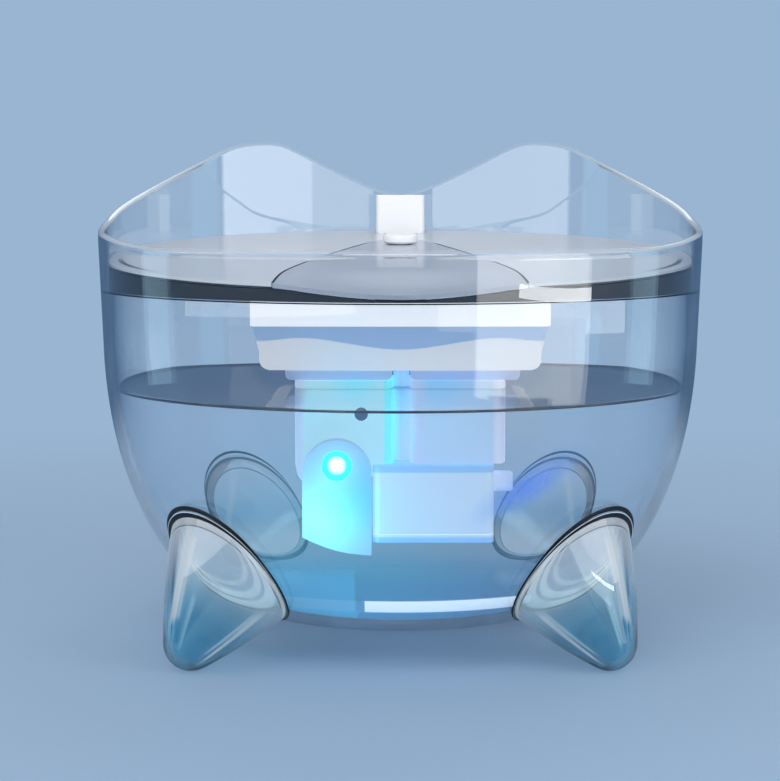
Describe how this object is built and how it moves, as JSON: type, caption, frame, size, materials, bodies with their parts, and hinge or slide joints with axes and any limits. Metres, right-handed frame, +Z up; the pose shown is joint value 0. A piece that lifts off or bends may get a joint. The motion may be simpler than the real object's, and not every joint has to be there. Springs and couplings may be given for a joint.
{
  "type": "pet water fountain",
  "caption": "Clear bowl-shaped pet water fountain on four ear-shaped feet, with a sloping grey drinking tray, filter box, pump and lamp in a lift-out frame.",
  "frame": {"origin": "on the table, below the middle of the bowl", "axes": "+Z up, -Y toward the low front of the tray, +X to the right seen from the front"},
  "size_m": [0.22, 0.22, 0.1817],
  "materials": {
    "clear_shell": "clear, polished",
    "tray_grey": "satin",
    "dark_frame": "fine satin",
    "white_plastic": "smooth",
    "frosted": "frosted, see-through",
    "lens": "glowing ring",
    "board": "white lacquer",
    "grey_socket": "moulded",
    "steel": "bright",
    "seal": "soft",
    "carbon": "granular",
    "foam": "open foam",
    "ceramic": "ground",
    "magnet": "bonded ferrite",
    "core": "stacked sheets",
    "coil": "enamelled wire"
  },
  "bodies": {
    "bowl": {"bowl": "clear_shell", "foot_front_left": "clear_shell", "foot_front_right": "clear_shell", "foot_rear_left": "clear_shell", "foot_rear_right": "clear_shell"},
    "frame": {"support_ring": "dark_frame", "power_block": "white_plastic", "inlet_socket": "grey_socket", "filter_box": "white_plastic", "box_screws": "steel", "left_column": "frosted", "right_column": "frosted", "riser_pipe": "white_plastic", "lamp_housing": "white_plastic", "lamp_board": "board", "lamp_lens": "lens"},
    "tray": {"tray": "tray_grey", "outlet_tube": "white_plastic", "filter_lid": "white_plastic", "lid_gasket": "seal"},
    "spillway": {"spillway": "tray_grey"},
    "button": {"outlet_cap": "white_plastic"},
    "cartridge": {"cartridge_shell": "white_plastic", "carbon_bed": "carbon", "foam_pad": "foam", "cartridge_cover": "white_plastic"},
    "pump": {"pump_body": "white_plastic", "pump_shaft": "ceramic", "stator_core": "core", "stator_coil": "coil"},
    "intake_cover": {"pump_cover": "white_plastic", "shaft_bush": "seal"},
    "rotor": {"impeller": "white_plastic", "rotor_magnet": "magnet"},
    "flow_knob": {"flow_knob": "white_plastic"}
  },
  "joints": [
    {"name": "frame_lift", "type": "slide", "parent": "bowl", "child": "frame", "axis": [0, 0, 1], "range_m": [0, 0.155]},
    {"name": "tray_lift", "type": "slide", "parent": "frame", "child": "tray", "axis": [0, 0, 1], "range_m": [0, 0.08]},
    {"name": "cartridge_lift", "type": "slide", "parent": "frame", "child": "cartridge", "axis": [0, 0, 1], "range_m": [0, 0.04]},
    {"name": "spillway_lift", "type": "slide", "parent": "tray", "child": "spillway", "axis": [0, 0, 1], "range_m": [0, 0.04]},
    {"name": "button_lift", "type": "slide", "parent": "spillway", "child": "button", "axis": [0, 0, 1], "range_m": [0, 0.025]},
    {"name": "pump_pull", "type": "slide", "parent": "frame", "child": "pump", "axis": [0, 0, -1], "range_m": [0, 0.009]},
    {"name": "cover_pull", "type": "slide", "parent": "pump", "child": "intake_cover", "axis": [0, 0, -1], "range_m": [0, 0.006]},
    {"name": "rotor_spin", "type": "hinge", "parent": "pump", "child": "rotor", "pos_m": [0.017, -0.0145, 0.0486], "axis": [0, 0, 1], "continuous": true},
    {"name": "flow_turn", "type": "hinge", "parent": "pump", "child": "flow_knob", "pos_m": [0.0337, -0.014, 0.0568], "axis": [1, 0, 0], "range_deg": [0, 90]}
  ],
  "couplings": [
    {"joint": "cartridge_lift", "follows": "tray_lift", "ratio": 0.5}
  ]
}
